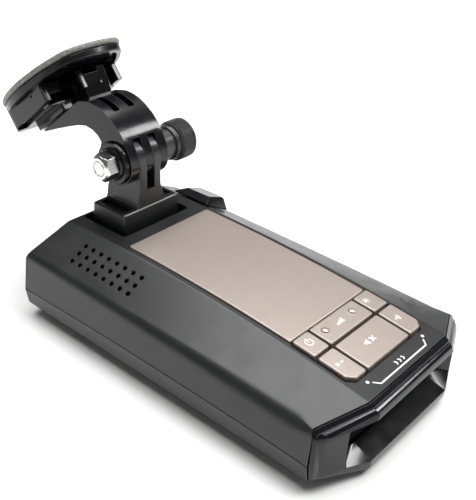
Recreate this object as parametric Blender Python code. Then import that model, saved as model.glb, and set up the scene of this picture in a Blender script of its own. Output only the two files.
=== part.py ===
"""Windscreen radar detector: two-shell body, display end, keys, quick-release adapter and tilting mount.

X runs across the body, the display end faces -Y, the windscreen end faces +Y and Z is up, from z = 0 at
the underside. Figures are millimetres and are scaled to metres as each mesh is written.
"""

import math

import bmesh
import bpy
from mathutils import Matrix, Vector

MM = 0.001
GAP = 0.3

# Body
HALF_W = 36.0
SIDE_TOP_X = 34.4
CREASE_X = 19.0
FRONT_Y = -57.3
FAR_Y = 59.8
RECEDE = 0.41
FAR_LEAN = 0.40
WALL = 1.8
FLOOR_X = 19.5

# Top plate and keys
PLATE_X = 17.3
PLATE_Y = (-31.9, 29.3)
PLATE_RISE = 0.5
KEY_RISE = 0.95
ROW_1 = (-39.8, -32.5)
ROW_2 = (-51.2, -40.7)
COLUMN = 9.95

# Quick-release adapter
BLOCK_X = 11.8
BLOCK_Y = (37.2, 52.0)
BLOCK_Z = (26.4, 35.1)
WELL_X = 14.3
WELL_Y = (34.6, 54.6)
WELL_FLOOR = 26.1

# Knuckle
AXIS_Y = 45.0
AXIS_Z = 49.5
KNUCKLE_R = 7.5
PRONG = 1.5
SLOT = 4.65
ARM_X = 7.9

# Windscreen plate, in its own frame: X, down the glass, out towards the glass
PAD_Y = 80.4
PAD_Z = 68.25
PAD_SLOPE = 38.4
PAD_A = 19.4
PAD_B = 23.6
PAD_POWER = 2.15
PAD_TOP = (
    (18.9, -4.7),
    (16.6, -12.6),
    (14.4, -16.6),
    (12.3, -19.9),
    (9.9, -21.9),
    (6.6, -22.9),
    (3.2, -23.3),
)


def clear_scene():
    for obj in list(bpy.data.objects):
        bpy.data.objects.remove(obj, do_unlink=True)


def collection(name):
    made = bpy.data.collections.new(name)
    bpy.context.scene.collection.children.link(made)
    return made


def material(name, color, metallic=0.0, rough=0.5, clear=0.0):
    mat = bpy.data.materials.new(name)
    mat.use_nodes = True
    shader = mat.node_tree.nodes["Principled BSDF"]
    shader.inputs["Base Color"].default_value = (*color, 1.0)
    shader.inputs["Metallic"].default_value = metallic
    shader.inputs["Roughness"].default_value = rough
    shader.inputs["Transmission Weight"].default_value = clear
    return mat


def mesh_object(name, points, faces, mat=None):
    """An object from points in mm. Without a material it is a cutter, kept out of the render."""
    bm = bmesh.new()
    verts = [bm.verts.new(Vector(p) * MM) for p in points]
    for face in faces:
        bm.faces.new([verts[i] for i in face])
    bmesh.ops.recalc_face_normals(bm, faces=bm.faces)
    mesh = bpy.data.meshes.new(name)
    bm.to_mesh(mesh)
    bm.free()
    obj = bpy.data.objects.new(name, mesh)
    if mat is None:
        CUTTERS.objects.link(obj)
        obj.hide_render = True
        obj.display_type = "WIRE"
    else:
        PARTS.objects.link(obj)
        mesh.materials.append(mat)
    return obj


def boolean(obj, cutter, operation="DIFFERENCE"):
    mod = obj.modifiers.new(operation.title() + " " + cutter.name, "BOOLEAN")
    mod.operation = operation
    mod.solver = "EXACT"
    mod.object = cutter


def smooth(obj, angle=35.0):
    for poly in obj.data.polygons:
        poly.use_smooth = True
    obj.data.set_sharp_from_angle(angle=math.radians(angle))


def rounded(corners, segments=4):
    """Corner list (u, v, radius) turned into a polyline; a corner of radius 0 stays one point."""
    out = []
    count = len(corners)
    for i, (u, v, radius) in enumerate(corners):
        if radius <= 0:
            out.append((u, v))
            continue
        here = Vector((u, v))
        a = (Vector(corners[i - 1][:2]) - here).normalized()
        b = (Vector(corners[(i + 1) % count][:2]) - here).normalized()
        half = a.angle(b) / 2
        reach = radius / math.tan(half)
        centre = here + (a + b).normalized() * (radius / math.sin(half))
        start = here + a * reach - centre
        turn = math.pi - 2 * half
        sign = 1 if a.x * b.y - a.y * b.x < 0 else -1
        for k in range(segments + 1):
            p = centre + Matrix.Rotation(sign * turn * k / segments, 2) @ start
            out.append((p.x, p.y))
    return out


def rectangle(u0, u1, v0, v1, radius):
    return rounded([(u0, v0, radius), (u1, v0, radius), (u1, v1, radius), (u0, v1, radius)])


def loft(name, rings, mat=None):
    """Rings of equal count joined into a closed solid with flat end caps."""
    n = len(rings[0])
    points = [p for ring in rings for p in ring]
    faces = [tuple(range(n))[::-1], tuple(range(n * (len(rings) - 1), n * len(rings)))]
    for s in range(len(rings) - 1):
        for i in range(n):
            j = (i + 1) % n
            faces.append((s * n + i, s * n + j, (s + 1) * n + j, (s + 1) * n + i))
    return mesh_object(name, points, faces, mat)


def prism(name, outline, low, high, axis="Z", mat=None):
    """A flat outline pushed along one axis: X takes (y, z), Y takes (x, z) and Z takes (x, y)."""
    place = {
        "X": lambda u, v, w: (w, u, v),
        "Y": lambda u, v, w: (u, w, v),
        "Z": lambda u, v, w: (u, v, w),
    }[axis]
    return loft(name, [[place(u, v, w) for u, v in outline] for w in (low, high)], mat)


def circle(cu, cv, radius, count=32, start=0.0):
    turns = [start + 2 * math.pi * k / count for k in range(count)]
    return [(cu + radius * math.cos(t), cv + radius * math.sin(t)) for t in turns]


def turned(name, steps, centre, mat=None, count=40):
    """A body turned about an X axis through centre (y, z): steps are (x, radius)."""
    rings = [[(x, y, z) for y, z in circle(*centre, r, count)] for x, r in steps]
    return loft(name, rings, mat)


def upright(name, centre, steps, mat=None, count=20):
    """A body turned about a Z axis through centre (x, y): steps are (z, radius)."""
    rings = [[(x, y, z) for x, y in circle(*centre, r, count)] for z, r in steps]
    return loft(name, rings, mat)


# ---- body sections ----


def roof_z(y):
    t = y - 44.7
    return 29.7 - 0.0006 * t * t + 1.24e-6 * t**3


def side_z(y):
    return 20.6 + 0.024 * y


def parting_z(y):
    return 10.8 - 0.0003 * (y - 5.0) ** 2


def roof_slope(y=32.0):
    return math.atan2(roof_z(y) - side_z(y), SIDE_TOP_X - CREASE_X)


def shoulder_r(y):
    """Radius of the shoulder: tight where it meets the display end, widest just behind, then tapering."""
    return 2.6 if y < -50 else 4.75 - 0.0205 * y


def top_line(y, t=0.0):
    """Right parting edge, over the roof, to the left parting edge, at depth t inside the skin."""
    soft = max(shoulder_r(y) - t, 0.5)
    crease = (CREASE_X - 0.2 * t, roof_z(y) - t, 1.4)
    shoulder = (SIDE_TOP_X - t, side_z(y) - 0.8 * t, soft)
    half = [(HALF_W - t, parting_z(y) + GAP / 2, 0), shoulder, crease]
    return rounded(half + [(-u, v, r) for u, v, r in half[::-1]])


def bottom_line(y, t=0.0):
    """Right parting edge, under the floor, to the left parting edge, at depth t inside the skin."""
    chine = (34.9 - t, 3.4 + 0.8 * t, max(2.4 - t, 0.5))
    keel = (FLOOR_X, t, 1.2)
    half = [(HALF_W - t, parting_z(y) - GAP / 2, 0), chine, keel]
    return rounded(half + [(-u, v, r) for u, v, r in half[::-1]])


def six_ring(keel, chine, side, shoulder, crease):
    """A whole section from five right-hand corners (x, z, radius), mirrored; side stays one point."""
    right = [keel, chine, side, shoulder, crease]
    return rounded(right + [(-u, v, r) for u, v, r in right[::-1]])


def front_edge(base, x):
    """How far back a front ring lies at x: it recedes past the creases and comes forward at the sides."""
    forward = min(max((abs(x) - 33.4) / 1.6, 0.0), 1.0)
    return base + RECEDE * max(0.0, min(abs(x), 34.2) - CREASE_X) - 1.6 * forward


def far_edge(base, z):
    return base - FAR_LEAN * max(0.0, z - 21.0)


STATIONS = (-46.5, -40, -33, -26, -18, -10, -2, 6, 15, 25, 36, 46)


def shell(name, line, mat):
    """One half of the case: skin, lining, parting rim, open display end and closed windscreen end."""
    skin = [[(x, front_edge(FRONT_Y, x), z) for x, z in line(FRONT_Y)]]
    lining = [[(x, front_edge(FRONT_Y, x), z) for x, z in line(FRONT_Y, WALL)]]
    for y in STATIONS:
        skin.append([(x, y, z) for x, z in line(y)])
        lining.append([(x, y, z) for x, z in line(y, WALL)])
    skin.append([(x, far_edge(FAR_Y - 0.8, z), z) for x, z in line(FAR_Y - 0.8)])
    skin.append([(x, far_edge(FAR_Y, z), z) for x, z in line(FAR_Y, 0.75)])
    lining.append([(x, far_edge(FAR_Y - 4, z), z) for x, z in line(FAR_Y - 4, WALL)])
    lining.append([(x, far_edge(FAR_Y - 1.9, z), z) for x, z in line(FAR_Y - 1.9, WALL)])
    n = len(skin[0])
    s_count = len(skin)
    points = [p for ring in skin + lining for p in ring]

    def outer(s, i):
        return s * n + i

    def inner(s, i):
        return (s_count + s) * n + i

    faces = []
    for s in range(s_count - 1):
        for i in range(n - 1):
            faces.append((outer(s, i), outer(s, i + 1), outer(s + 1, i + 1), outer(s + 1, i)))
            faces.append((inner(s, i), inner(s + 1, i), inner(s + 1, i + 1), inner(s, i + 1)))
        for i in (0, n - 1):
            faces.append((outer(s, i), outer(s + 1, i), inner(s + 1, i), inner(s, i)))
    for i in range(n - 1):
        faces.append((outer(0, i), outer(0, i + 1), inner(0, i + 1), inner(0, i)))
    last = s_count - 1
    for i in range(n // 2):
        j = n - 1 - i
        if j - i == 1:
            break
        faces.append((outer(last, i), outer(last, i + 1), outer(last, j - 1), outer(last, j)))
        faces.append((inner(last, i), inner(last, i + 1), inner(last, j - 1), inner(last, j)))
    faces.append((outer(last, 0), outer(last, n - 1), inner(last, n - 1), inner(last, 0)))
    return mesh_object(name, points, faces, mat)


def roof_slab(name, x0, x1, y0, y1, low, high, mat=None, radius=0.7, edge=0.0):
    """A slab that follows the crowned roof between two offsets from it; edge breaks its top edge."""
    outline = rectangle(x0, x1, y0, y1, radius)
    cuts = [y0 + (y1 - y0) * k / 8 for k in range(1, 8)] if y1 - y0 > 25 else []
    outline = with_cuts(outline, cuts)
    cu, cv = (x0 + x1) / 2, (y0 + y1) / 2
    rings = [[(x, y, roof_z(y) + low) for x, y in outline]]
    if edge:
        rings.append([(x, y, roof_z(y) + high - edge) for x, y in outline])
        sx = 1 - 2 * edge / (x1 - x0)
        sy = 1 - 2 * edge / (y1 - y0)
        shrunk = [(cu + (x - cu) * sx, cv + (y - cv) * sy) for x, y in outline]
        rings.append([(x, y, roof_z(y) + high) for x, y in shrunk])
    else:
        rings.append([(x, y, roof_z(y) + high) for x, y in outline])
    return ladder_loft(name, rings, cu, mat)


def with_cuts(outline, cuts):
    """Adds a point wherever a long side crosses one of the given y values."""
    out = []
    for i, (x, y) in enumerate(outline):
        out.append((x, y))
        nx, ny = outline[(i + 1) % len(outline)]
        inside = [c for c in cuts if min(y, ny) + 0.01 < c < max(y, ny) - 0.01]
        for c in sorted(inside, reverse=ny < y):
            out.append((x + (nx - x) * (c - y) / (ny - y), c))
    return out


def ladder_loft(name, rings, mid_x, mat):
    """Loft whose caps are strips straight across X, so that they follow the crown."""
    n = len(rings[0])
    points = [p for ring in rings for p in ring]
    faces = []
    for s in range(len(rings) - 1):
        for i in range(n):
            j = (i + 1) % n
            faces.append((s * n + i, s * n + j, (s + 1) * n + j, (s + 1) * n + i))
    for base in (0, n * (len(rings) - 1)):
        ring = [(points[base + i], base + i) for i in range(n)]
        left = sorted([r for r in ring if r[0][0] < mid_x], key=lambda r: r[0][1])
        right = sorted([r for r in ring if r[0][0] >= mid_x], key=lambda r: r[0][1])
        for k in range(len(left) - 1):
            faces.append((left[k][1], left[k + 1][1], right[k + 1][1], right[k][1]))
    return mesh_object(name, points, faces, mat)


# ---- case ----


SCREWS = ((-15.5, -27.0), (15.5, -27.0), (-15.5, 22.0), (15.5, 22.0))


def top_shell():
    case = shell("top_shell", top_line, SATIN_BLACK)
    tub = prism("tub", rectangle(-16.2, 16.2, 32.9, 56.0, 1.5), WELL_FLOOR - 1.7, 28.6)
    boolean(case, tub, "UNION")
    for k, spot in enumerate(SCREWS):
        low, high = parting_z(spot[1]) + 0.3, roof_z(spot[1]) - 1.3
        column = upright(f"column_{k + 1}", spot, ((low, 3.4), (high, 3.4)))
        boolean(case, column, "UNION")
        boolean(case, upright(f"thread_{k + 1}", spot, ((9.0, 1.45), (18.5, 1.45)), count=12))
    boolean(case, prism("well", rectangle(-WELL_X, WELL_X, *WELL_Y, 1.2), WELL_FLOOR, 33))
    boolean(case, prism("foot_hole", rectangle(-4.5, 4.5, 40.5, 49.0, 0.5), 20, 30))
    boolean(case, roof_slab("plate_seat", -17.6, 17.6, -32.2, 29.6, -0.8, 3, radius=0.9))
    left = [(-17.9, -32.1, 0.9), (-17.9, -49.5, 0.5), (-15.7, -51.7, 0.5)]
    keyhole = rounded(left + [(-x, y, r) for x, y, r in left[::-1]])
    boolean(case, prism("key_opening", keyhole, 18, 33))
    boolean(case, speaker_holes())
    boolean(case, latch_opening())
    for k, (x, y) in enumerate(((27.7, -43.3), (26.0, -44.0))):
        boolean(case, prism(f"sensor_slot_{k + 1}", rectangle(x, x + 0.5, y, y + 2.4, 0.2), 15, 30))
    boolean(case, upright("sensor_hole", (25.5, -39.8), ((15, 0.4), (30, 0.4)), count=12))
    boolean(case, prism("lens_opening", rectangle(9.7, 26.3, 13.6, 21.4, 2.5), 50, 62, "Y"))
    boolean(case, prism("socket_opening", circle(-19.0, 17.6, 3.4, 20), 50, 62, "Y"))
    smooth(case, 28)


def speaker_holes():
    tilt = Matrix.Rotation(-roof_slope(), 3, "Y")
    points = []
    faces = []
    for row in range(3):
        for k in range(8):
            x = -23.6 - 2.75 * row
            y = 17.3 + 3.57 * k
            z = roof_z(y) - math.tan(roof_slope()) * (-x - CREASE_X)
            base = len(points)
            for depth in (-4.5, 2.5):
                for u, v in circle(0, 0, 0.82, 12):
                    points.append(tuple(tilt @ Vector((u, v, depth)) + Vector((x, y, z))))
            faces.append(tuple(range(base, base + 12))[::-1])
            faces.append(tuple(range(base + 12, base + 24)))
            for i in range(12):
                j = (i + 1) % 12
                faces.append((base + i, base + j, base + 12 + j, base + 12 + i))
    return mesh_object("speaker_holes", points, faces)


def bottom_shell():
    case = shell("bottom_shell", bottom_line, SATIN_BLACK)
    for k, spot in enumerate(SCREWS):
        post = upright(f"post_{k + 1}", spot, ((1.0, 3.4), (parting_z(spot[1]) - 0.3, 3.4)))
        boolean(case, post, "UNION")
        steps = ((-1, 3.0), (2.6, 3.0), (2.61, 1.6), (12, 1.6))
        boolean(case, upright(f"bore_{k + 1}", spot, steps, count=16))
    smooth(case, 28)


def case_screws():
    for k, (x, y) in enumerate(SCREWS):
        steps = ((0.5, 2.2), (0.8, 2.6), (2.2, 2.6), (2.21, 1.2), (15.5, 1.2), (16.4, 0.7))
        screw = upright(f"case_screw_{k + 1}", (x, y), steps, DARK_STEEL, 16)
        cross = mesh_cross(f"cross_{k + 1}", x, y)
        boolean(screw, cross)
        smooth(screw)


def mesh_cross(name, x, y):
    a, b = 0.35, 1.35
    outline = [(a, b), (-a, b), (-a, a), (-b, a), (-b, -a), (-a, -a), (-a, -b), (a, -b)]
    outline += [(a, -a), (b, -a), (b, a), (a, a)]
    return prism(name, [(x + u, y + v) for u, v in outline], -1, 1.5)


# ---- display end ----


def skin_ring(across, down):
    """The body's front section, drawn in by one amount at the sides and another at roof and floor."""
    y = FRONT_Y
    return six_ring(
        (CREASE_X + 0.5 - 0.3 * down, down, 1.2),
        (34.9 - across, 3.4 + 0.5 * across + 0.3 * down, max(2.4 - 0.5 * across, 0.6)),
        (HALF_W - 1.8 * across + 0.2, parting_z(y), 0),
        (SIDE_TOP_X - across, side_z(y) - 0.8 * down, max(2.6 - 0.5 * across, 0.6)),
        (CREASE_X - 0.3 * down, roof_z(y) - down, 1.2),
    )


def opening_ring(half, flat, low, high, cut, radius=0.6):
    return six_ring(
        (flat, low, radius),
        (half, low + cut, radius),
        (half, (low + high) / 2, 0),
        (half, high - cut, radius),
        (flat, high, radius),
    )


def display_bezel():
    """One closed skin: spigot, flange, stepped upper rim, face, splayed recess and the seat behind it."""
    outside = (
        (-54.4, skin_ring(2.1, 2.1)),
        (-57.6, skin_ring(2.1, 2.1)),
        (-57.61, skin_ring(0.25, 0.25)),
        (-58.7, skin_ring(0.35, 1.05)),
        (-58.8, skin_ring(0.4, 1.4)),
        (-59.5, skin_ring(0.9, 1.65)),
        (-60.1, skin_ring(1.6, 2.15)),
        (-60.35, skin_ring(2.3, 2.75)),
        (-60.5, opening_ring(26.4, 18.9, 4.95, 18.3, 0.8)),
    )
    inside = (
        (-54.7, opening_ring(22.4, 18.3, 7.0, 16.0, 0.7, 0.3)),
        (-54.4, opening_ring(25.3, 24.3, 4.6, 18.2, 1.0, 0.3)),
        (-50.6, opening_ring(25.3, 24.3, 4.6, 18.2, 1.0, 0.3)),
    )
    rings = [[(x, front_edge(base, x), z) for x, z in ring] for base, ring in outside]
    rings += [[(x, y, z) for x, z in ring] for y, ring in inside]
    n = len(rings[0])
    count = len(rings)
    faces = []
    for s in range(count):
        for i in range(n):
            j = (i + 1) % n
            t = (s + 1) % count
            faces.append((s * n + i, s * n + j, t * n + j, t * n + i))
    bezel = mesh_object("display_bezel", [p for ring in rings for p in ring], faces, GLOSS_BLACK)
    smooth(bezel, 24)


def display_window():
    prism("display_window", rectangle(-25.0, 25.0, 4.9, 17.9, 0.7), -54.0, -52.8, "Y", SMOKED)


def display_panel():
    prism("display_panel", rectangle(-24.0, 24.0, 5.4, 17.4, 0.5), -52.5, -50.9, "Y", PANEL)


# ---- roof plate and keys ----


def top_plate():
    plate = roof_slab("top_plate", -PLATE_X, PLATE_X, *PLATE_Y, -0.5, PLATE_RISE, CHAMPAGNE, 0.7, 0.25)
    smooth(plate, 25)


def key(name, x0, x1, y0, y1, corner=None):
    cap = roof_slab(name, x0, x1, y0, y1, -1.5, KEY_RISE, CHAMPAGNE, 0.6, 0.25)
    if corner:
        x, y = corner
        side = 1 if x > 0 else -1
        wedge = [(x + 3 * side, y - 3), (x + 3 * side, y + 5.1), (x - 5.1 * side, y - 3)]
        boolean(cap, prism(name + "_corner", wedge, 15, 30))
    smooth(cap, 25)
    return cap


def keys():
    edge = PLATE_X
    inner = COLUMN + 0.8
    key("key_power", -edge, -inner, *ROW_1)
    key("key_brightness", inner, edge, *ROW_1)
    key("key_mark", -edge, -inner, *ROW_2, (-edge, ROW_2[0]))
    key("key_sensitivity", inner, edge, *ROW_2, (edge, ROW_2[0]))
    key("key_mute", -COLUMN, COLUMN, *ROW_2)
    rocker = key("key_volume", -COLUMN, COLUMN, *ROW_1)
    for side in (-1, 1):
        steps = ((25.3, 1.2), (26.25, 1.2), (26.5, 1.05), (26.66, 0.75), (26.74, 0.35))
        boolean(rocker, upright(f"volume_nub_{side + 2}", (side * 6.3 - 0.6, -35.6), steps), "UNION")


def keypad():
    mat = roof_slab("keypad", -20.0, 20.0, -52.0, -30.6, -3.5, -2.5, RUBBER, 1.0)
    smooth(mat, 25)


# ---- inside ----


def main_board():
    board = prism("main_board", rectangle(-32.0, 32.0, -47.0, 54.0, 2.0), 12.1, 13.7, "Z", BOARD)
    for k, spot in enumerate(SCREWS):
        boolean(board, upright(f"board_hole_{k + 1}", spot, ((10, 3.9), (16, 3.9))))


def horn():
    mouth = rectangle(-15.5, 15.5, 2.4, 11.0, 0.6)
    waist = rectangle(-6.5, 6.5, 3.2, 9.6, 0.6)
    steps = ((4.0, waist), (26.5, waist), (54.5, mouth))
    sleeve = loft("radar_horn", [[(x, y, z) for x, z in o] for y, o in steps], HORN)
    hollow_mouth = rectangle(-14.7, 14.7, 3.2, 10.2, 0.4)
    hollow_waist = rectangle(-5.7, 5.7, 4.0, 8.8, 0.4)
    steps = ((8.0, hollow_waist), (27.0, hollow_waist), (56.0, hollow_mouth))
    boolean(sleeve, loft("horn_hollow", [[(x, y, z) for x, z in o] for y, o in steps]))


def speaker():
    tilt = Matrix.Rotation(-roof_slope(), 3, "Y")
    outline = rectangle(-5.6, 5.6, -14.0, 14.0, 1.5)
    centre = Vector((-25.2, 29.8, 21.0))
    rings = []
    for w, grow in ((-2.2, 0.8), (0.8, 0.8), (0.81, 1.0), (2.0, 1.0)):
        rings.append([tuple(tilt @ Vector((u * grow, v * grow, w)) + centre) for u, v in outline])
    smooth(loft("speaker", rings, RUBBER))


def laser_window():
    y0 = FAR_Y - 2.2
    rings = []
    steps = ((-3.0, 1.3), (-0.2, 1.3), (-0.19, 0.0), (1.5, 0.0), (2.4, -1.6))
    for step, grow in steps:
        outline = rectangle(10.0 - grow, 26.0 + grow, 13.9, 21.1, 2.2)
        rings.append([(x, y0 + step, z) for x, z in outline])
    smooth(loft("laser_window", rings, SMOKED))


def power_socket():
    body = prism("power_socket", rectangle(-23.5, -14.5, 14.0, 21.2, 0.6), 46.5, 57.4, "Y", RUBBER)
    boolean(body, prism("socket_bore", circle(-19.0, 17.6, 2.75, 20), 48.0, 60, "Y"))
    pin = prism("socket_pin", circle(-19.0, 17.6, 0.75, 12), 47.0, 56.6, "Y")
    boolean(body, pin, "UNION")
    smooth(body)


# ---- quick release ----


LATCH_TRAVEL = 3.0


def slope_z(x, y=39.0):
    """Height of the right roof slope at x."""
    return roof_z(y) - math.tan(roof_slope(y)) * (x - CREASE_X)


def latch_opening():
    return prism("latch_opening", rectangle(21.7, 26.3, 37.2, 43.8 + LATCH_TRAVEL, 0.5), 20, 33)


def tilted_ring(x0, x1, y0, y1, radius, z0, z1):
    ring = rectangle(x0, x1, y0, y1, radius)
    return [(x, y, z0 + (z1 - z0) * (x - x0) / (x1 - x0)) for x, y in ring]


def release_latch():
    """A raked finger bar that slides along the roof, its stem through a slot and its catch by the foot."""
    skirt = (slope_z(19.6) + 0.35, slope_z(29.8) + 0.3)
    rings = (
        tilted_ring(19.6, 29.8, 30.8, 46.6, 1.0, *skirt),
        tilted_ring(19.6, 29.9, 30.7, 46.8, 1.0, skirt[0] + 0.5, skirt[1] + 0.5),
        tilted_ring(22.5, 30.3, 32.6, 44.4, 1.0, 30.8, 28.0),
        tilted_ring(23.1, 29.9, 33.3, 43.6, 1.0, 31.0, 28.55),
    )
    bar = loft("release_latch", rings, SATIN_BLACK)
    stem = prism("latch_stem", rectangle(22.0, 26.0, 37.5, 43.5, 0.4), 19.4, 28.0)
    boolean(bar, stem, "UNION")
    catch = prism("latch_catch", rectangle(5.0, 24.0, 41.4, 43.1, 0.3), 19.8, 22.6)
    boolean(bar, catch, "UNION")
    smooth(bar, 24)


def mount_adapter():
    """A block that drops into the roof well, with a two-pronged knuckle above and a locking foot below."""
    rings = []
    for grow, z in ((0.45, BLOCK_Z[0]), (0.05, BLOCK_Z[1] - 0.4), (-0.35, BLOCK_Z[1])):
        y0, y1 = BLOCK_Y[0] - grow, BLOCK_Y[1] + grow
        rings.append([(x, y, z) for x, y in rectangle(-BLOCK_X - grow, BLOCK_X + grow, y0, y1, 0.8)])
    block = loft("mount_adapter", rings, SATIN_BLACK)
    prong = SLOT - 0.15
    stem = []
    for z, half in ((BLOCK_Z[1] - 1.5, 6.3), (36.2, 5.6), (38.6, 5.2), (41.0, prong), (49.5, prong)):
        stem.append([(x, y, z) for x, y in rectangle(-half, half, 37.5, 52.4, 0.5)])
    boolean(block, loft("stem", stem), "UNION")
    eye = turned("eye", ((-prong, KNUCKLE_R), (prong, KNUCKLE_R)), (AXIS_Y, AXIS_Z))
    boolean(block, eye, "UNION")
    slot = rounded([(30, 40.6, 0), (60, 40.6, 0), (60, 60, 0), (30, 60, 0)])
    boolean(block, prism("fork_slot", slot, -PRONG - 0.15, PRONG + 0.15, "X"))
    boolean(block, turned("adapter_bore", ((-10, 2.75), (10, 2.75)), (AXIS_Y, AXIS_Z), count=24))
    foot = prism("foot", rectangle(-4.2, 4.2, 40.8, 48.7, 0.4), 19.0, BLOCK_Z[0] + 1)
    boolean(block, foot, "UNION")
    boolean(block, prism("ledge_left", rectangle(-10.4, -6.9, 39.0, 50.4, 0.5), 33.4, 40))
    boolean(block, prism("ledge_right", rectangle(6.9, 10.4, 39.0, 50.4, 0.5), 34.4, 40))
    smooth(block, 28)


# ---- tilting arm ----


def glass_frame(x, down, out):
    """A point given in the frame of the windscreen plate."""
    a = math.radians(PAD_SLOPE)
    y = PAD_Y + down * math.cos(a) + out * math.sin(a)
    z = PAD_Z - down * math.sin(a) + out * math.cos(a)
    return (x, y, z)


def glass_loft(name, rings, mat=None):
    return loft(name, [[glass_frame(*p) for p in ring] for ring in rings], mat)


def glass_box(name, x0, x1, d0, d1, low, high, mat=None, radius=0.3):
    outline = rectangle(x0, x1, d0, d1, radius)
    return glass_loft(name, [[(x, d, w) for x, d in outline] for w in (low, high)], mat)


def arm_outline():
    """Side view of the hook: over the knuckle, then down along the plate."""
    swing = []
    for k in range(13):
        t = math.radians(172 + (368 - 172) * k / 12)
        swing.append((AXIS_Y + KNUCKLE_R * math.cos(t), AXIS_Z + KNUCKLE_R * math.sin(t)))
    under = [(51.2, 54.6), (52.9, 56.3), (55.4, 57.5), (58.6, 57.9)]
    under += [(61.8, 57.2), (66.0, 55.7), (72.1, 53.3), (79.9, 50.0)]
    upper = [glass_frame(0, d, -14.0)[1:] for d in (11.6, 4.0, -6.0, -12.6)]
    over = [(58.4, 65.9), (56.2, 66.2), (53.4, 65.9), (50.6, 65.2), (47.6, 63.8)]
    over += [(44.6, 61.8), (41.6, 58.9), (39.4, 55.4), (38.1, 52.6)]
    return swing + under + upper + over


def hook_arm():
    arm = prism("hook_arm", arm_outline(), -ARM_X, ARM_X, "X", ARM_BLACK)
    boolean(arm, glass_box("saddle", -9.4, 9.4, -6.0, 12.1, -13.7, -11.0, radius=0.8), "UNION")
    boolean(arm, glass_box("slider", -13.2, 13.2, -6.5, 11.9, -11.4, -4.4, radius=0.4), "UNION")
    wing = ((-14.3, -10.6), (-9.4, -11.9), (-4.9, -12.7))
    rings = [[(x, d, w) for x, d in rectangle(-1.8, 7.9, front, -4.0, 0.3)] for w, front in wing]
    boolean(arm, glass_loft("right_wing", rings), "UNION")
    boolean(arm, glass_box("wing_notch", -3.0, 4.9, -14.0, -2.0, -6.3, -3.7, radius=0.3))
    boolean(arm, glass_box("tongue_well", -6.9, -2.4, -9.0, -1.0, -10.4, -3.8, radius=0.3))
    boolean(arm, glass_box("tongue", -3.5, -1.4, -12.9, -11.6, -10.6, -4.9, radius=0.5), "UNION")
    boolean(arm, glass_box("under_wing", -14.6, -2.9, -9.0, -2.0, -10.9, -7.7, radius=0.3))
    mark = [[(x, d, w) for x, w in circle(5.1, -9.7, 0.5, 12)] for d in (-14.0, -11.5)]
    boolean(arm, glass_loft("wing_mark", mark))
    boolean(arm, turned("clevis_left", ((-SLOT, 9.1), (-PRONG, 9.1)), (AXIS_Y, AXIS_Z)))
    boolean(arm, turned("clevis_right", ((PRONG, 9.1), (SLOT, 9.1)), (AXIS_Y, AXIS_Z)))
    boolean(arm, turned("arm_bore", ((-20, 2.75), (20, 2.75)), (AXIS_Y, AXIS_Z), count=24))
    for side in (-1, 1):
        middle = side * (PRONG + SLOT) / 2
        pocket = rectangle(middle - 1.3, middle + 1.3, 48.6, 58.0, 0.5)
        boolean(arm, prism(f"arm_pocket_{side + 2}", pocket, 61.0, 72))
    smooth(arm, 30)


def adhesive_base():
    rings = []
    for w, grow in ((-4.3, -1.1), (-4.0, -0.7), (-2.4, -0.5), (-2.1, -0.8)):
        rings.append([(x, d, w) for x, d in pad_outline(grow)])
    base = glass_loft("adhesive_base", rings, GLOSS_BLACK)
    hollow = [[(x, d, w) for x, d in pad_outline(grow)] for w, grow in ((-5.5, -2.2), (-3.0, -2.8))]
    boolean(base, glass_loft("base_hollow", hollow))
    for side in (-1, 1):
        x0, x1 = sorted((side * 13.6, side * 16.0))
        wall = glass_box(f"rail_{side + 2}", x0, x1, -9.0, 13.0, -10.2, -2.7, radius=0.5)
        boolean(base, wall, "UNION")
    bend = [(-15.9, 12.4, 0.4), (15.9, 12.4, 0.4), (15.9, 15.3, 2.0), (-15.9, 15.3, 2.0)]
    wall = [[(x, d, w) for x, d in rounded(bend)] for w in (-11.3, -2.6)]
    boolean(base, glass_loft("end_wall", wall), "UNION")
    for side in (-1, 1):
        face = glass_frame(0, -2.6, -5.6)[1:]
        mark = turned(f"pin_mark_{side + 2}", ((side * 15.7, 0.55), (side * 17.0, 0.55)), face, count=12)
        boolean(base, mark)
    smooth(base, 30)


def pad_outline(grow=0.0, count=32):
    """The plate's outline: a round lower half, and an upper half that narrows to a flatter top edge."""
    lower = []
    for k in range(count + 1):
        t = math.pi * k / count
        c, s = math.cos(t), math.sin(t)
        across = math.copysign(abs(c) ** (2 / PAD_POWER), c) * PAD_A
        lower.append((across, s ** (2 / PAD_POWER) * PAD_B))
    half = [(PAD_A, 3.0), (PAD_A, 0.0), *PAD_TOP]
    controls = [(-u, v) for u, v in half] + [(0.0, -PAD_B + 0.2)] + half[::-1]
    upper = []
    for i in range(1, len(controls) - 2):
        p0, p1, p2, p3 = [Vector(p) for p in controls[i - 1 : i + 3]]
        for k in range(3):
            t = k / 3
            curve = 2 * p1 + (p2 - p0) * t + (2 * p0 - 5 * p1 + 4 * p2 - p3) * t**2
            curve += (3 * p1 - p0 - 3 * p2 + p3) * t**3
            upper.append(tuple(curve / 2))
    return [(u * (1 + grow / PAD_A), v * (1 + grow / PAD_B)) for u, v in lower[:-1] + upper]


def foam_pad():
    levels = ((-1.8, -0.25), (-1.4, 0.0), (-0.4, 0.0), (0.0, -0.3))
    rings = [[(x, d, w) for x, d in pad_outline(grow)] for w, grow in levels]
    smooth(glass_loft("foam_pad", rings, FOAM), 40)


# ---- hinge hardware ----


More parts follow.
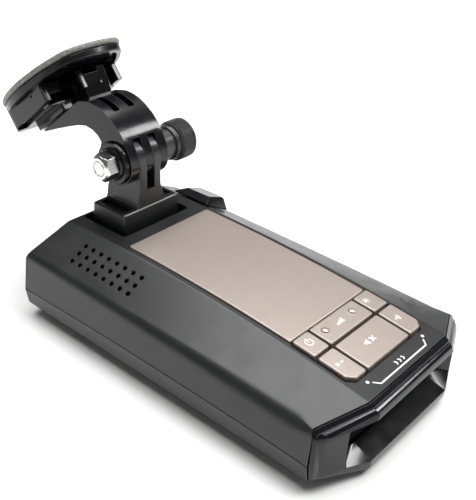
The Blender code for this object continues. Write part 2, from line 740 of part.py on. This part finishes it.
def hinge_bolt():
    hexagon = circle(AXIS_Y, AXIS_Z, 8.0 / 2 / math.cos(math.pi / 6), 6, math.radians(10))
    head = prism("hinge_bolt", hexagon, -14.7, -10.4, "X", STEEL)
    dome = turned("hex_crown", ((-14.8, 3.3), (-13.9, 4.25), (-10.0, 9.0)), (AXIS_Y, AXIS_Z), count=36)
    boolean(head, dome, "INTERSECT")
    boolean(head, turned("shaft", ((-11.0, 2.4), (16.0, 2.4)), (AXIS_Y, AXIS_Z), count=24), "UNION")
    smooth(head, 30)


def bolt_cup():
    steps = ((-10.1, 4.7), (-9.7, 5.3), (-9.2, 5.3), (-9.19, 6.6), (-8.5, 6.9), (-8.2, 6.9))
    cup = turned("bolt_cup", steps, (AXIS_Y, AXIS_Z), GLOSS_BLACK)
    boolean(cup, turned("cup_bore", ((-12, 2.7), (-6, 2.7)), (AXIS_Y, AXIS_Z), count=24))
    smooth(cup)


def thumb_knob():
    steps = ((8.2, 5.0), (13.9, 5.0), (13.91, 5.7), (15.2, 5.9), (15.21, 5.5), (16.6, 6.2))
    knob = turned("thumb_knob", steps, (AXIS_Y, AXIS_Z), ARM_BLACK)
    teeth = 30
    rings = []
    grip = ((15.9, 5.4, 5.6), (16.5, 6.1, 6.5), (20.9, 6.3, 6.8), (21.6, 6.2, 6.5), (22.2, 5.6, 5.8))
    for x, root, tip in grip:
        ring = []
        for k in range(teeth * 2):
            t = math.pi * k / teeth
            r = tip if k % 2 == 0 else root
            ring.append((x, AXIS_Y + r * math.cos(t), AXIS_Z + r * math.sin(t)))
        rings.append(ring)
    boolean(knob, loft("knurl", rings), "UNION")
    boolean(knob, turned("knob_bore", ((0, 2.7), (16.4, 2.7)), (AXIS_Y, AXIS_Z), count=24))
    smooth(knob, 30)


clear_scene()
PARTS = collection("radar_detector")
CUTTERS = collection("cutters")
CUTTERS.hide_render = True

SATIN_BLACK = material("satin_black", (0.028, 0.029, 0.032), 0.0, 0.42)
GLOSS_BLACK = material("gloss_black", (0.012, 0.012, 0.014), 0.0, 0.12)
ARM_BLACK = material("arm_black", (0.02, 0.02, 0.022), 0.0, 0.25)
CHAMPAGNE = material("champagne_metallic", (0.36, 0.29, 0.25), 0.75, 0.38)
SMOKED = material("smoked_window", (0.02, 0.02, 0.024), 0.0, 0.08)
PANEL = material("panel_glass", (0.01, 0.01, 0.012), 0.0, 0.2)
RUBBER = material("black_rubber", (0.018, 0.018, 0.018), 0.0, 0.75)
BOARD = material("board_green", (0.02, 0.11, 0.05), 0.0, 0.45)
HORN = material("horn_alloy", (0.62, 0.62, 0.6), 0.9, 0.35)
STEEL = material("plated_steel", (0.72, 0.71, 0.68), 1.0, 0.22)
DARK_STEEL = material("black_steel", (0.1, 0.1, 0.11), 0.9, 0.4)
FOAM = material("foam_grey", (0.46, 0.45, 0.41), 0.0, 0.85)

top_shell()
bottom_shell()
case_screws()
display_bezel()
display_window()
display_panel()
top_plate()
keys()
keypad()
main_board()
horn()
speaker()
laser_window()
power_socket()
release_latch()
mount_adapter()
hook_arm()
adhesive_base()
foam_pad()
hinge_bolt()
bolt_cup()
thumb_knob()
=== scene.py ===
"""Looks for the dashboard detector: materials, printed marks, foam pad, floor, light and camera."""

import math

import bpy
from mathutils import Matrix, Vector
from mathutils.bvhtree import BVHTree


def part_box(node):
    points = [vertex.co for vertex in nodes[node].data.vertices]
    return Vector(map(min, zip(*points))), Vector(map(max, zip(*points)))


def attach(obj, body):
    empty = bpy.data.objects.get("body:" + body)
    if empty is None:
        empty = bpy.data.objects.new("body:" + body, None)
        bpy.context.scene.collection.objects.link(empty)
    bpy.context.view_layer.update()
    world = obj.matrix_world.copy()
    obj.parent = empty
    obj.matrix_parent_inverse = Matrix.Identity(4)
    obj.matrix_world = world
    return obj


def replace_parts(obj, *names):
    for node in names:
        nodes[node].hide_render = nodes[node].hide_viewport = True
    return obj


MM = 0.001
INK_SINK, INK_RISE = 0.04 * MM, 0.05 * MM  # how far ink goes into a surface, and stands off it
ABOVE = 0.1  # a height in metres that clears the whole object
GLASS_SLOPE = math.radians(38.4)  # the windscreen plate, from the horizontal
SHARP = 20  # degrees: edges bent less than this are shaded smooth

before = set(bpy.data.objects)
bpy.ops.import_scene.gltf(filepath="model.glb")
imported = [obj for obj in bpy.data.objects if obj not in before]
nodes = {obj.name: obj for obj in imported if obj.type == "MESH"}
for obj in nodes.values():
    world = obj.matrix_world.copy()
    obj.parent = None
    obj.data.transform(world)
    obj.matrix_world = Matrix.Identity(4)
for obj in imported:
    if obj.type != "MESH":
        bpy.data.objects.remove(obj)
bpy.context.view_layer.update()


# ---- node helpers ----


class Tree:
    """A small wrapper that adds and links shader nodes."""

    def __init__(self, name):
        self.mat = bpy.data.materials.new(name)
        self.mat.use_nodes = True
        self.tree = self.mat.node_tree
        self.shader = self.tree.nodes["Principled BSDF"]
        self.place = self.add("ShaderNodeTexCoord").outputs["Object"]

    def add(self, kind, **settings):
        node = self.tree.nodes.new(kind)
        for key, value in settings.items():
            setattr(node, key, value)
        return node

    def link(self, source, target):
        self.tree.links.new(source, target)

    def noise(self, scale, detail=3.0, rough=0.55, stretch=None):
        node = self.add("ShaderNodeTexNoise")
        node.inputs["Scale"].default_value = scale
        node.inputs["Detail"].default_value = detail
        node.inputs["Roughness"].default_value = rough
        source = self.place
        if stretch:
            mapping = self.add("ShaderNodeMapping")
            mapping.inputs["Scale"].default_value = stretch
            self.link(source, mapping.inputs["Vector"])
            source = mapping.outputs["Vector"]
        self.link(source, node.inputs["Vector"])
        return node.outputs["Fac"]

    def cells(self, scale):
        node = self.add("ShaderNodeTexVoronoi")
        node.inputs["Scale"].default_value = scale
        self.link(self.place, node.inputs["Vector"])
        return node.outputs["Distance"]

    def spread(self, source, low, high, start=0.3, end=0.7):
        node = self.add("ShaderNodeMapRange")
        node.inputs["From Min"].default_value = start
        node.inputs["From Max"].default_value = end
        node.inputs["To Min"].default_value = low
        node.inputs["To Max"].default_value = high
        self.link(source, node.inputs["Value"])
        return node.outputs["Result"]

    def mix(self, factor, a, b):
        node = self.add("ShaderNodeMix", data_type="RGBA")
        self.link(factor, node.inputs["Factor"])
        for index, value in ((6, a), (7, b)):  # the two colour inputs; 2 is the colour output
            if isinstance(value, tuple):
                node.inputs[index].default_value = (*value, 1)
            else:
                self.link(value, node.inputs[index])
        return node.outputs[2]

    def edges(self, radius):
        """Rounded edge normals, and a mask that is 1 along sharp edges."""
        bevel = self.add("ShaderNodeBevel", samples=6)
        bevel.inputs["Radius"].default_value = radius
        shape = self.add("ShaderNodeNewGeometry")
        dot = self.add("ShaderNodeVectorMath", operation="DOT_PRODUCT")
        self.link(bevel.outputs["Normal"], dot.inputs[0])
        self.link(shape.outputs["Normal"], dot.inputs[1])
        mask = self.spread(dot.outputs["Value"], 1.0, 0.0, 0.75, 0.985)
        return bevel.outputs["Normal"], mask

    def bump(self, height, strength, depth, normal=None):
        node = self.add("ShaderNodeBump")
        node.inputs["Strength"].default_value = strength
        node.inputs["Distance"].default_value = depth
        self.link(height, node.inputs["Height"])
        if normal is not None:
            self.link(normal, node.inputs["Normal"])
        return node.outputs["Normal"]

    def set(self, **values):
        for key, value in values.items():
            socket = self.shader.inputs[key.replace("_", " ")]
            if isinstance(value, bpy.types.NodeSocket):
                self.link(value, socket)
            elif isinstance(value, tuple):
                socket.default_value = (*value, 1)
            else:
                socket.default_value = value
        return self.mat


def scaled(color, share):
    return tuple(min(1, c * share) for c in color)


def plastic(name, color, rough, grain, relief, wear_and_painted_highlight, edge=0.0003, coat=0.0, level=0.5):
    """Moulded plastic: fine texture, cloudy sheen, and edges slightly paler, partly wear and partly
    a painted highlight.
    """
    t = Tree(name)
    normal, mask = t.edges(edge)
    cloud = t.noise(90, 4)
    fine = t.noise(grain, 2)
    # patchy colour along sharp edges: partly wear, partly a painted highlight on the rims
    edge_wear_and_highlight = t.add("ShaderNodeMath", operation="MULTIPLY")
    t.link(mask, edge_wear_and_highlight.inputs[0])
    t.link(t.spread(t.noise(400, 3), 0.15, 0.8), edge_wear_and_highlight.inputs[1])
    tone = t.mix(t.spread(cloud, 0, 1), scaled(color, 0.86), scaled(color, 1.14))
    base = t.mix(edge_wear_and_highlight.outputs[0], tone, wear_and_painted_highlight)
    sheen = t.spread(t.noise(170, 4), rough - 0.035, rough + 0.045)
    normal = t.bump(fine, relief, 0.00006, normal)
    return t.set(
        Base_Color=base,
        Roughness=sheen,
        Normal=normal,
        Specular_IOR_Level=level,
        Coat_Weight=coat,
        Coat_Roughness=0.06,
    )


def metal(
    name, color, rough, grain, relief, metallic=1.0, stretch=None, edge=0.0002, wear_and_painted_highlight=None
):
    """Metal, or metallic paint: flakes or brush lines in the tone, the sheen and the relief."""
    t = Tree(name)
    normal, mask = t.edges(edge)
    flake = t.noise(grain, 2, stretch=stretch)
    tone = t.mix(t.spread(flake, 0, 1), scaled(color, 0.88), scaled(color, 1.12))
    # paler colour along sharp edges: a painted highlight on the rims, and wear on the paint
    base = t.mix(mask, tone, wear_and_painted_highlight or scaled(color, 1.25))
    sheen = t.spread(t.noise(600, 4), rough - 0.02, rough + 0.03)
    normal = t.bump(flake, relief, 0.00004, normal)
    return t.set(Base_Color=base, Metallic=metallic, Roughness=sheen, Normal=normal)


def window_glass():
    """Smoked acrylic, a little purple over the middle where the display shows through."""
    t = Tree("smoked_acrylic")
    split = t.add("ShaderNodeSeparateXYZ")
    t.link(t.place, split.inputs[0])
    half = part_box("display_panel")[1].x
    across = t.add("ShaderNodeMath", operation="ABSOLUTE")
    t.link(split.outputs["X"], across.inputs[0])
    middle = t.spread(across.outputs[0], 1, 0, half * 0.55, half * 0.95)
    base = t.mix(middle, (0.006, 0.006, 0.008), (0.014, 0.011, 0.017))
    return t.set(
        Base_Color=base,
        Roughness=t.spread(t.noise(120, 3), 0.2, 0.26),
        Normal=t.bump(t.noise(900, 2), 0.05, 0.00002),
        Specular_IOR_Level=0.25,
    )


def foam():
    """Open-celled grey foam under a thin sticky film."""
    t = Tree("foam_pad_grey")
    cell = t.cells(3200)
    speck = t.noise(2200, 4, 0.6)
    tone = t.mix(t.spread(cell, 0, 1, 0.05, 0.6), (0.05, 0.048, 0.044), (0.17, 0.165, 0.15))
    base = t.mix(t.spread(speck, 0, 1, 0.5, 0.62), tone, (0.33, 0.32, 0.295))
    return t.set(
        Base_Color=base,
        Roughness=t.spread(t.noise(700, 3), 0.4, 0.65),
        Normal=t.bump(cell, 0.5, 0.00018),
        Sheen_Weight=0.1,
    )


def board():
    """Green solder mask with copper tracks under it."""
    t = Tree("circuit_board")
    track = t.add("ShaderNodeTexBrick")
    track.inputs["Scale"].default_value = 260
    track.inputs["Color1"].default_value = (0.01, 0.09, 0.035, 1)
    track.inputs["Color2"].default_value = (0.012, 0.12, 0.045, 1)
    track.inputs["Mortar"].default_value = (0.03, 0.2, 0.08, 1)
    t.link(t.place, track.inputs["Vector"])
    normal = t.bump(track.outputs["Fac"], 0.3, 0.00005)
    sheen = t.spread(t.noise(300), 0.3, 0.45)
    return t.set(Base_Color=track.outputs["Color"], Roughness=sheen, Normal=normal)


# each finish's last colour goes along its sharp edges: partly wear, partly a painted highlight
CASE = plastic(
    "case_satin_black", (0.0125, 0.0128, 0.0132), 0.34, 4200, 0.3, (0.06, 0.06, 0.062)
)
GLOSS = plastic(
    "gloss_black", (0.0045, 0.0045, 0.0055), 0.15, 2600, 0.04, (0.03, 0.03, 0.032),
    edge=0.00015, coat=0.1, level=0.3,
)
ARM = plastic(
    "arm_black", (0.006, 0.006, 0.007), 0.17, 3000, 0.06, (0.14, 0.14, 0.142),
    coat=0.1, level=0.28,
)
KNOB = plastic(
    "knob_black", (0.026, 0.026, 0.027), 0.36, 3800, 0.3, (0.16, 0.16, 0.16), edge=0.00015
)
MOUNT = plastic(
    "mount_black", (0.009, 0.0095, 0.0105), 0.33, 3400, 0.2, (0.05, 0.05, 0.052), coat=0.1
)
RUBBER = plastic("black_rubber", (0.012, 0.012, 0.012), 0.62, 5200, 0.5, (0.03, 0.03, 0.03))
PRINT = plastic(
    "white_print", (0.78, 0.78, 0.76), 0.5, 6000, 0.2, (0.72, 0.72, 0.7), edge=0.00005
)
CHAMPAGNE = metal(
    "champagne_paint", (0.42, 0.357, 0.322), 0.34, 5200, 0.28,
    metallic=0.7, edge=0.0003, wear_and_painted_highlight=(0.62, 0.57, 0.53),
)
STEEL = metal("plated_steel", (0.7, 0.69, 0.66), 0.2, 900, 0.12, stretch=(0.2, 1, 1))
DARK_STEEL = metal("black_steel", (0.09, 0.09, 0.1), 0.36, 1200, 0.2)
HORN = metal("horn_alloy", (0.6, 0.6, 0.58), 0.34, 1600, 0.3)
WINDOW = window_glass()
BOARD = board()
FOAM = foam()

FINISHES = {
    CASE: ("top_shell", "bottom_shell"),
    GLOSS: ("display_bezel", "bolt_cup", "release_latch"),
    ARM: ("hook_arm", "adhesive_base"),
    MOUNT: ("mount_adapter",),
    KNOB: ("thumb_knob",),
    CHAMPAGNE: [n for n in nodes if n == "top_plate" or n.startswith("key_")],
    WINDOW: ("display_window", "laser_window", "display_panel"),
    RUBBER: ("keypad", "power_socket", "speaker"),
    BOARD: ("main_board",),
    HORN: ("radar_horn",),
    STEEL: ("hinge_bolt",),
    DARK_STEEL: [n for n in nodes if n.startswith("case_screw")],
    FOAM: ("foam_pad",),
}
for finish, members in FINISHES.items():
    for member in members:
        mesh = nodes[member].data
        mesh.materials.clear()
        mesh.materials.append(finish)


def shading():
    """Nodes that weld a mesh and shade it smooth, except across edges sharper than an angle."""
    group = bpy.data.node_groups.new("shade_by_angle", "GeometryNodeTree")
    group.interface.new_socket("Mesh", in_out="INPUT", socket_type="NodeSocketGeometry")
    angle = group.interface.new_socket("Angle", in_out="INPUT", socket_type="NodeSocketFloat")
    group.interface.new_socket("Mesh", in_out="OUTPUT", socket_type="NodeSocketGeometry")
    start, end = group.nodes.new("NodeGroupInput"), group.nodes.new("NodeGroupOutput")
    weld = group.nodes.new("GeometryNodeMergeByDistance")
    weld.inputs["Distance"].default_value = 0.002 * MM
    plain = group.nodes.new("GeometryNodeRemoveAttribute")
    plain.inputs["Name"].default_value = "custom_normal"
    bend = group.nodes.new("GeometryNodeInputMeshEdgeAngle")
    gentle = group.nodes.new("FunctionNodeCompare")
    gentle.operation = "LESS_THAN"
    faces = group.nodes.new("GeometryNodeSetShadeSmooth")
    edges = group.nodes.new("GeometryNodeSetShadeSmooth")
    edges.domain = "EDGE"
    link = group.links.new
    link(start.outputs[0], weld.inputs["Geometry"])
    link(weld.outputs[0], plain.inputs["Geometry"])
    link(plain.outputs[0], faces.inputs["Geometry"])
    link(faces.outputs[0], edges.inputs["Geometry"])
    link(bend.outputs["Unsigned Angle"], gentle.inputs[0])
    link(start.outputs[1], gentle.inputs[1])
    link(gentle.outputs[0], edges.inputs["Shade Smooth"])
    link(edges.outputs[0], end.inputs[0])
    return group, angle.identifier


GROUP, ANGLE = shading()
SOFT = {  # degrees, where a node's own curves are coarser than most
    "hook_arm": 24,
    "bolt_cup": 30,
    "hinge_bolt": 22,
    "display_bezel": 24,
    "adhesive_base": 24,
}
for name, node in nodes.items():
    shade = node.modifiers.new("shade_by_angle", "NODES")
    shade.node_group = GROUP
    shade[ANGLE] = math.radians(SOFT.get(name, SHARP))
    even = node.modifiers.new("even_normals", "WEIGHTED_NORMAL")
    even.keep_sharp = True


# ---- printed marks ----


def surface(node):
    mesh = nodes[node].data
    faces = [p.vertices for p in mesh.polygons]
    return BVHTree.FromPolygons([v.co for v in mesh.vertices], faces)


def piece(name, points, faces, mat, body):
    mesh = bpy.data.meshes.new(name)
    mesh.from_pydata(points, [], faces)
    mesh.materials.append(mat)
    obj = bpy.data.objects.new(name, mesh)
    bpy.context.scene.collection.objects.link(obj)
    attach(obj, body)
    return obj


def printed(name, outlines, node, body):
    """Thin raised ink over a node, from outlines in millimetres, anticlockwise from above."""
    under = surface(node)
    points, faces = [], []
    for outline in outlines:
        start, count = len(points), len(outline)
        above = [Vector((x * MM, y * MM, ABOVE)) for x, y in outline]
        hits = [under.ray_cast(place, Vector((0, 0, -1)))[0] for place in above]
        for lift in (-INK_SINK, INK_RISE):
            points += [hit + Vector((0, 0, lift)) for hit in hits]
        faces.append(list(range(start + count - 1, start - 1, -1)))
        faces.append(list(range(start + count, start + 2 * count)))
        for k in range(count):
            j = (k + 1) % count
            faces.append([start + k, start + j, start + count + j, start + count + k])
    return piece(name, points, faces, PRINT, body)


def dot(x, y, radius):
    """A round spot."""
    count = 20
    turn = [2 * math.pi * k / count for k in range(count)]
    return [(x + radius * math.cos(t), y + radius * math.sin(t)) for t in turn]


def bar(x0, y0, x1, y1, width):
    """A straight stroke from one point to the other."""
    along = Vector((x1 - x0, y1 - y0)).normalized() * width / 2
    side = Vector((along.y, -along.x))
    start, end = Vector((x0, y0)), Vector((x1, y1))
    return [tuple(p) for p in (start + side, end + side, end - side, start - side)]


def arc(x, y, radius, start, end, width, count):
    """A curved stroke, as a run of short four-sided pieces that overlap a little."""
    pieces = []
    inner, outer = radius - width / 2, radius + width / 2
    for k in range(count):
        a = math.radians(start + (end - start) * (k - 0.08) / count)
        b = math.radians(start + (end - start) * (k + 1.08) / count)
        ring = [(outer, a), (outer, b), (inner, b), (inner, a)]
        pieces.append([(x + r * math.cos(t), y + r * math.sin(t)) for r, t in ring])
    return pieces


def bracket():
    """The stroke with turned-up ends in front of the keys, and its two dots."""
    marks = [dot(-13.5, -53.35, 0.48), dot(13.5, -53.35, 0.48)]
    marks.append(bar(-11.1, -55.8, 11.1, -55.8, 0.42))
    marks.append(bar(-12.5, -54.15, -11.0, -55.85, 0.42))
    marks.append(bar(11.0, -55.85, 12.5, -54.15, 0.42))
    for x in (-1.2, 0.4, 2.0):
        marks.append(bar(x - 0.5, -54.9, x + 0.1, -54.3, 0.4))
        marks.append(bar(x + 0.1, -54.3, x - 0.5, -53.7, 0.4))
    return marks


printed("bracket_marks", bracket(), "top_shell", "housing")
power = arc(-14.1, -35.6, 1.15, -235, 55, 0.34, 22)
power.append(bar(-14.1, -35.5, -14.1, -34.1, 0.36))
printed("power_mark", power, "key_power", "power_key")
steps = []
for k in range(4):
    x = -2.0 + 0.85 * k
    steps.append(bar(x, -36.7, x, -36.0 + 0.32 * k, 0.48))
printed("volume_mark", steps, "key_volume", "volume_key")
speaker = [
    [(-2.9, -46.0), (-2.2, -46.0), (-1.3, -46.6), (-1.3, -44.5), (-2.2, -45.1), (-2.9, -45.1)]
]
speaker += [bar(-0.3, -46.3, 1.4, -44.8, 0.42), bar(-0.3, -44.8, 1.4, -46.3, 0.42)]
printed("mute_mark", speaker, "key_mute", "mute_key")
pin = [[(-15.9, -45.4), (-15.2, -46.1), (-14.5, -45.4), (-15.2, -44.7)]]
pin.append(bar(-13.9, -45.4, -12.9, -45.4, 0.5))
printed("waypoint_mark", pin, "key_mark", "mark_key")
sun = [dot(12.8, -35.5, 0.5)]
for k in range(8):
    c, s = math.cos(math.pi * k / 4), math.sin(math.pi * k / 4)
    sun.append(bar(12.8 + 0.75 * c, -35.5 + 0.75 * s, 12.8 + 1.1 * c, -35.5 + 1.1 * s, 0.26))
printed("brightness_mark", sun, "key_brightness", "brightness_key")
waves = [dot(12.8, -45.3, 0.36)]
for radius in (0.85, 1.4):
    waves += arc(12.8, -45.3, radius, -42, 42, 0.3, 6)
printed("sensitivity_mark", waves, "key_sensitivity", "sensitivity_key")


# ---- turned pieces ----


def bands(rows, count, closed=False):
    """Quads between neighbouring rings of count points; closed joins the last ring to the first."""
    faces = []
    for i in range(rows if closed else rows - 1):
        n = (i + 1) % rows
        for k in range(count):
            j = (k + 1) % count
            faces.append([i * count + k, i * count + j, n * count + j, n * count + k])
    return faces


def smoothed(obj):
    for polygon in obj.data.polygons:
        polygon.use_smooth = True
    return obj


def foam_pad():
    """A crowned foam disc with a soft rolled rim, over the shape of its solid."""
    mesh = nodes["foam_pad"].data
    normal = Vector((0, math.sin(GLASS_SLOPE), math.cos(GLASS_SLOPE)))
    down = Vector((0, math.cos(GLASS_SLOPE), -math.sin(GLASS_SLOPE)))
    top = max(v.co.dot(normal) for v in mesh.vertices)
    low = min(v.co.dot(normal) for v in mesh.vertices)
    near = [(v.co, v.co.dot(normal) - top) for v in mesh.vertices]
    spine = [co for co, depth in near if abs(depth + 0.4 * MM) < 0.2 * MM]
    middle = sum((p.dot(down) for p in spine), 0.0) / len(spine)
    ring = {}
    for p in spine:
        u, v = p.x, p.dot(down) - middle
        ring[round(math.atan2(v, u), 3)] = (u, v)
    ring = [ring[key] for key in sorted(ring)]
    outline = []
    for k in range(len(ring)):
        a, b = Vector(ring[k]), Vector(ring[(k + 1) % len(ring)])
        outline += [a, (a + b) / 2]
    # share of the outline, and depth in millimetres below the crown
    rows = [(0.2, 0.0), (0.4, 0.0), (0.6, 0.0), (0.8, -0.02), (0.92, -0.05), (0.965, -0.12)]
    rows += [(0.99, -0.32), (1.0, -0.62), (1.0, -1.2), (0.99, -1.55), (0.97, -1.75), (0.9, -1.8)]
    points, faces = [], []
    count = len(outline)
    for scale, depth in rows:
        level = max(top + depth * MM, low)
        for p in outline:
            across = Vector((p.x * scale, 0, 0))
            points.append(across + down * (middle + p.y * scale) + normal * level)
    faces += bands(len(rows), count)
    for start, level in ((0, top), ((len(rows) - 1) * count, low)):
        points.append(down * middle + normal * level)
        for k in range(count):
            j = (k + 1) % count
            tri = [start + k, start + j, len(points) - 1]
            faces.append(tri if start else tri[::-1])
    return smoothed(piece("foam_cushion", points, faces, FOAM, "plate"))


def knob():
    """A thumb knob with a smooth neck, a fine upright knurl and a plain rim."""
    low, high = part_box("thumb_knob")
    centre = (low + high) / 2
    radius = (high.y - low.y) / 2
    ribs = 54
    x0, x1 = low.x, high.x
    # place along the axis in metres, then radius and rib height in millimetres
    neck = [(x0, 4.7, 0), (x0 + 0.0003, 5.0, 0), (x0 + 0.0056, 5.0, 0), (x0 + 0.0058, 5.65, 0)]
    groove = [(x0 + 0.0069, 5.85, 0), (x0 + 0.0071, 5.4, 0)]
    groove += [(x0 + 0.0077, 5.4, 0), (x0 + 0.0079, 5.9, 0)]
    grip = [(x0 + 0.0082, 6.1, 0.1), (x0 + 0.0085, 6.25, 0.42)]
    grip += [(x1 - 0.0016, 6.3, 0.42), (x1 - 0.0013, 6.3, 0.1)]
    rim = [(x1 - 0.0012, 6.62, 0), (x1 - 0.0005, 6.66, 0), (x1 - 0.0002, 6.4, 0), (x1, 6.0, 0)]
    dish = [(x1, 5.0, 0), (x1 - 0.0004, 4.7, 0), (x1 - 0.0004, 0.6, 0)]
    steps = neck + groove + grip + rim + dish
    count = ribs * 4
    points = []
    for x, r, rib in steps:
        for k in range(count):
            t = 2 * math.pi * k / count
            out = min((r + rib * (1, 1, 0, 0)[k % 4]) * MM, radius)
            points.append((x, centre.y + out * math.cos(t), centre.z + out * math.sin(t)))
    faces = bands(len(steps), count)
    faces.append(list(range(count))[::-1])
    faces.append(list(range((len(steps) - 1) * count, len(steps) * count)))
    return piece("knurled_knob", points, faces, KNOB, "knob")


def bolt_ring():
    """The raised ring rolled on to the hinge bolt's hexagonal face."""
    low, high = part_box("hinge_bolt")
    centre, count = (low + high) / 2, 40
    profile = [(2.1, -0.05), (2.15, 0.14), (2.35, 0.2), (2.55, 0.14), (2.6, -0.05)]
    points = []
    for radius, rise in profile:
        for k in range(count):
            t = 2 * math.pi * k / count
            y = centre.y + radius * MM * math.cos(t)
            z = centre.z + radius * MM * math.sin(t)
            points.append((low.x - rise * MM, y, z))
    faces = bands(len(profile), count, closed=True)
    smoothed(piece("bolt_ring", points, faces, STEEL, "arm"))


pad = foam_pad()
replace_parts(pad, "foam_pad")
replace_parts(knob(), "thumb_knob")
bolt_ring()


# ---- studio ----


def shown(obj):
    bpy.context.scene.collection.objects.link(obj)
    return obj


def floor():
    """A wide sheet of pale paper just under the object."""
    reach, drop = 6, -0.2 * MM
    mesh = bpy.data.meshes.new("floor")
    corners = [(-reach, -reach), (reach, -reach), (reach, reach), (-reach, reach)]
    mesh.from_pydata([(x, y, drop) for x, y in corners], [], [(0, 1, 2, 3)])
    t = Tree("pale_paper")
    tone = t.mix(t.spread(t.noise(40, 4), 0, 1), (0.86, 0.86, 0.855), (0.9, 0.9, 0.895))
    normal = t.bump(t.noise(1200), 0.05, 0.00005)
    mesh.materials.append(t.set(Base_Color=tone, Roughness=0.8, Normal=normal))
    shown(bpy.data.objects.new("floor", mesh))


def softbox(name, place, target, size, power):
    """A rectangular soft light at a place, turned to a target."""
    light = bpy.data.lights.new(name, "AREA")
    light.shape = "RECTANGLE"
    light.size, light.size_y = size
    light.energy = power
    obj = bpy.data.objects.new(name, light)
    obj.location = place
    ahead = Vector(target) - Vector(place)
    obj.rotation_euler = ahead.to_track_quat("-Z", "Y").to_euler()
    shown(obj)


def sky_lamp(name, towards, spread, strength):
    """A round soft source so far off that it lights the floor evenly out to the horizon."""
    light = bpy.data.lights.new(name, "SUN")
    light.angle = math.radians(spread)
    light.energy = strength
    obj = bpy.data.objects.new(name, light)
    obj.rotation_euler = Vector(towards).to_track_quat("Z", "Y").to_euler()
    shown(obj)


def backdrop(bright, dim, low, high):
    """A white surround that is bright from the floor up to a low height, and dim overhead."""
    world = bpy.data.worlds.new("studio")
    bpy.context.scene.world = world
    world.use_nodes = True
    tree = world.node_tree
    place = tree.nodes.new("ShaderNodeTexCoord")
    split = tree.nodes.new("ShaderNodeSeparateXYZ")
    tree.links.new(place.outputs["Generated"], split.inputs[0])
    level = tree.nodes.new("ShaderNodeMapRange")
    level.interpolation_type = "SMOOTHSTEP"
    level.inputs["From Min"].default_value = low
    level.inputs["From Max"].default_value = high
    level.inputs["To Min"].default_value = bright
    level.inputs["To Max"].default_value = dim
    tree.links.new(split.outputs["Z"], level.inputs["Value"])
    tree.links.new(level.outputs["Result"], tree.nodes["Background"].inputs["Strength"])
    tree.nodes["Background"].inputs["Color"].default_value = (1, 1, 1, 1)


def camera():
    """Looks along a turn from +Y towards +X and a tip below the horizon, with a slight roll."""
    data = bpy.data.cameras.new("camera")
    data.sensor_fit = "VERTICAL"
    data.sensor_height = 36
    data.lens = 57.24
    data.shift_x = 0.0934
    data.shift_y = -0.0074
    data.clip_start = 0.01
    obj = bpy.data.objects.new("camera", data)
    turn, tip, roll = math.radians(46.866), math.radians(29.835), math.radians(0.742)
    level = math.cos(tip)
    ahead = Vector((math.sin(turn) * level, math.cos(turn) * level, -math.sin(tip)))
    right = Vector((math.cos(turn), -math.sin(turn), 0))
    above = right.cross(ahead)
    x = right * math.cos(roll) + above * math.sin(roll)
    y = -right * math.sin(roll) + above * math.cos(roll)
    obj.matrix_world = Matrix((x, y, -ahead)).transposed().to_4x4()
    obj.location = (-0.15642, -0.12678, 0.1496)
    bpy.context.scene.camera = shown(obj)


floor()
backdrop(1.3, 0.14, -0.02, 0.24)
sky_lamp("overhead", (0.16, 0.13, 0.98), 58, 4.2)
softbox("side", (0.57, -0.36, 0.6), (0, 0.02, 0.04), (0.16, 0.16), 1.8)
softbox("front", (0.17, -0.42, 0.8), (0, -0.03, 0.02), (0.34, 0.12), 2.2)
camera()
bpy.context.scene.view_settings.view_transform = "Standard"
